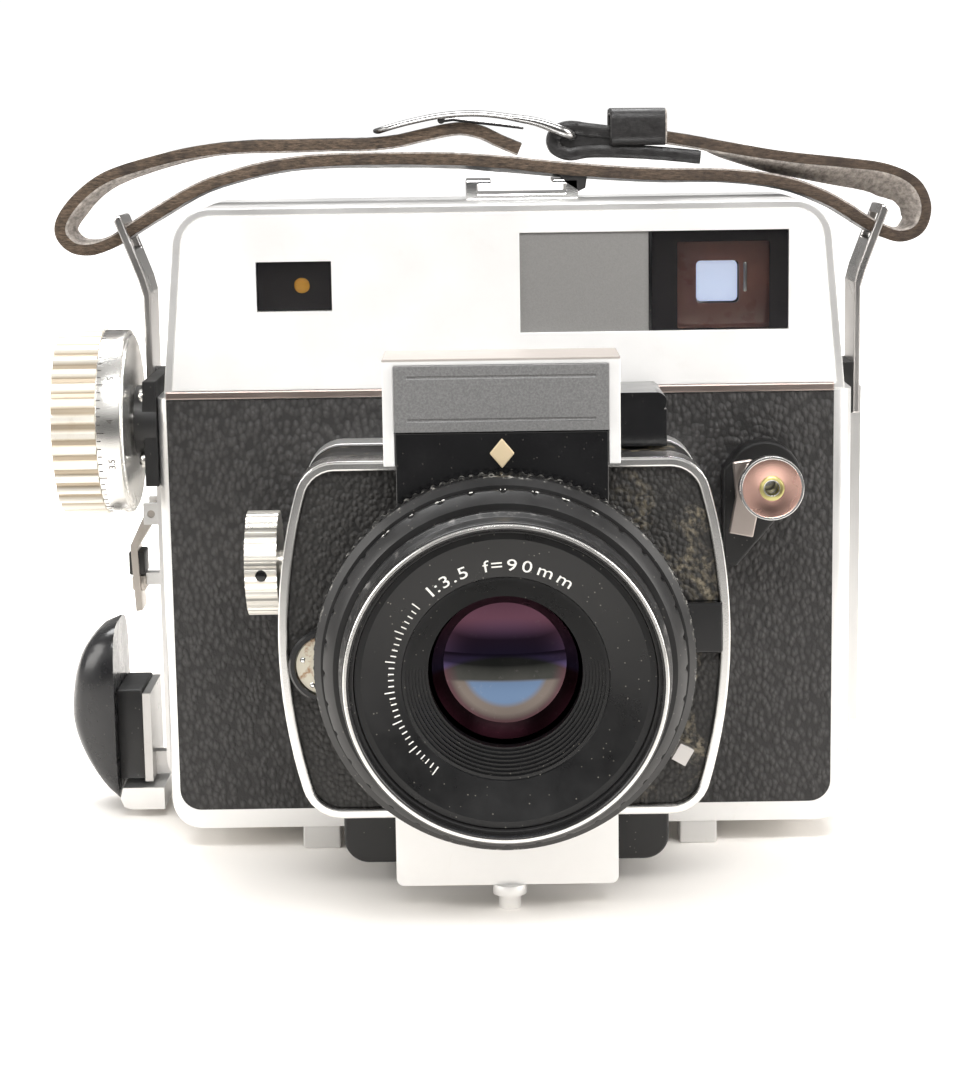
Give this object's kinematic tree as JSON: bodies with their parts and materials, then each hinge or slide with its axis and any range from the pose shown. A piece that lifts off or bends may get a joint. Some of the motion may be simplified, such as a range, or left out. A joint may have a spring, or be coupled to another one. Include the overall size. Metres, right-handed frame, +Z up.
{
  "type": "camera",
  "caption": "Medium-format press rangefinder camera with a focusing front standard, side focus knob, push-pull film advance, hinged film back and carrying strap.",
  "frame": {"origin": "centre of the tripod socket's mouth, at the height of the table the camera stands on", "axes": "+X to the right seen from the front, the lens looks along -Y, +Z up"},
  "size_m": [0.1895, 0.128, 0.1553],
  "materials": {
    "satin_chrome": "satin plated",
    "bright_chrome": "polished",
    "satin_plate": "fine satin",
    "grey_plate": "fine grained",
    "brown_trim": "satin",
    "black_leatherette": "pebbled",
    "black_paint": "semi-matt",
    "black_bakelite": "polished",
    "black_plastic": "matt",
    "grip_alloy": "turned, aged",
    "turned_alloy": "turned",
    "steel": "brushed",
    "brass": "satin",
    "window_glass": "coated",
    "frosted_window": "frosted",
    "coated_glass": "purple coated",
    "finder_glass": "polished",
    "strap_leather": "raw edge",
    "strap_black": "smooth"
  },
  "bodies": {
    "body": {"body_casting": "satin_chrome", "front_leather": "black_leatherette", "trim_band": "brown_trim", "top_cover": "satin_chrome", "front_plate": "satin_plate", "window_glasses": "window_glass", "frame_window": "frosted_window", "finder_frame": "black_paint", "finder_optics": "finder_glass", "accessory_shoe": "bright_chrome", "focus_bracket": "black_paint", "strap_lugs": "steel", "front_collar": "satin_chrome", "focus_bed": "black_paint", "feet": "satin_chrome", "tripod_boss": "steel", "light_box": "black_paint", "release_housing": "black_paint", "film_back_shell": "satin_chrome", "film_gate": "black_paint", "back_trim": "satin_chrome", "strap": "strap_leather", "strap_buckle": "bright_chrome", "strap_keeper": "strap_black"},
    "standard": {"standard_housing": "black_paint", "standard_rim": "bright_chrome", "standard_leather": "black_leatherette", "name_hood": "satin_chrome", "name_plate": "grey_plate", "focus_rack": "black_paint", "light_tube": "black_paint", "shutter_housing": "black_paint", "lens_barrel": "black_paint", "filter_rim": "bright_chrome", "front_trim_ring": "black_paint", "front_element": "coated_glass", "rear_element": "coated_glass", "shutter_blades": "steel", "iris_blades": "black_paint", "index_badge": "brass", "lower_bracket": "satin_chrome", "sync_socket": "brass"},
    "knob": {"focus_knob": "grip_alloy", "focus_scale": "turned_alloy", "focus_shaft": "steel"},
    "speed": {"speed_ring": "black_paint"},
    "aperture": {"aperture_ring": "black_paint"},
    "sync": {"sync_lever": "bright_chrome"},
    "lens_lock": {"lock_knob": "turned_alloy"},
    "release": {"release_button": "bright_chrome", "release_blade": "bright_chrome"},
    "advance": {"advance_grip": "black_bakelite", "advance_rack": "steel"},
    "takeup": {"takeup_spool": "black_plastic"},
    "supply": {"supply_spool": "black_plastic"},
    "back_door": {"rear_cover": "satin_chrome"},
    "plate": {"pressure_plate": "black_paint"},
    "catch": {"back_catch": "satin_chrome"},
    "counter": {"counter_dial": "satin_plate"},
    "rangefinder": {"rangefinder_arm": "steel"}
  },
  "joints": [
    {"name": "focus_slide", "type": "slide", "parent": "body", "child": "standard", "axis": [0, -1, 0], "range_m": [0, 0.01]},
    {"name": "focus_knob_turn", "type": "hinge", "parent": "body", "child": "knob", "pos_m": [0, -0.012, 0.092], "axis": [1, 0, 0], "range_deg": [0, 144]},
    {"name": "speed_ring_turn", "type": "hinge", "parent": "standard", "child": "speed", "pos_m": [0, -0.066, 0.051], "axis": [0, 1, 0], "range_deg": [-90, 60]},
    {"name": "aperture_ring_turn", "type": "hinge", "parent": "standard", "child": "aperture", "pos_m": [0, -0.072, 0.051], "axis": [0, 1, 0], "range_deg": [-30, 60]},
    {"name": "sync_lever_swing", "type": "hinge", "parent": "standard", "child": "sync", "pos_m": [0, -0.059, 0.051], "axis": [0, 1, 0], "range_deg": [0, 15]},
    {"name": "lens_lock_turn", "type": "hinge", "parent": "standard", "child": "lens_lock", "pos_m": [-0.045, -0.035, 0.0655], "axis": [1, 0, 0], "range_deg": [0, 90]},
    {"name": "release_press", "type": "slide", "parent": "body", "child": "release", "axis": [0, 1, 0], "range_m": [0, 0.004], "stiffness_N_per_m": 400, "springref_m": -0.002},
    {"name": "advance_pull", "type": "slide", "parent": "body", "child": "advance", "axis": [-1, 0, 0], "range_m": [0, 0.06]},
    {"name": "takeup_spin", "type": "hinge", "parent": "body", "child": "takeup", "pos_m": [-0.058, 0.0264, 0.05], "axis": [0, 0, 1], "range_deg": [-431, 1]},
    {"name": "supply_spin", "type": "hinge", "parent": "body", "child": "supply", "pos_m": [0.058, 0.0264, 0.05], "axis": [0, 0, 1], "continuous": true},
    {"name": "rear_cover_swing", "type": "hinge", "parent": "body", "child": "back_door", "pos_m": [0.0802, 0.0405, 0.05], "axis": [0, 0, -1], "range_deg": [0, 105]},
    {"name": "pressure_plate_float", "type": "slide", "parent": "back_door", "child": "plate", "axis": [0, 1, 0], "range_m": [0, 0.001], "stiffness_N_per_m": 600, "springref_m": -0.002},
    {"name": "back_catch_pull", "type": "hinge", "parent": "body", "child": "catch", "pos_m": [-0.078, 0.021, 0.0675], "axis": [0, 1, 0], "range_deg": [0, 18], "stiffness_Nm_per_rad": 0.05, "springref_deg": -17.19},
    {"name": "counter_turn", "type": "hinge", "parent": "body", "child": "counter", "pos_m": [0, 0.022, 0.093], "axis": [0, 0, 1], "range_deg": [0, 31]},
    {"name": "rangefinder_arm_swing", "type": "hinge", "parent": "body", "child": "rangefinder", "pos_m": [-0.042, -0.004, 0.1025], "axis": [0, 0, 1], "range_deg": [-4.1, 0.1]}
  ],
  "couplings": [
    {"joint": "focus_knob_turn", "follows": "focus_slide", "rad_per_m": 250},
    {"joint": "takeup_spin", "follows": "advance_pull", "rad_per_m": -125},
    {"joint": "counter_turn", "follows": "advance_pull", "rad_per_m": 8.7266},
    {"joint": "rangefinder_arm_swing", "follows": "focus_slide", "rad_per_m": -7}
  ]
}
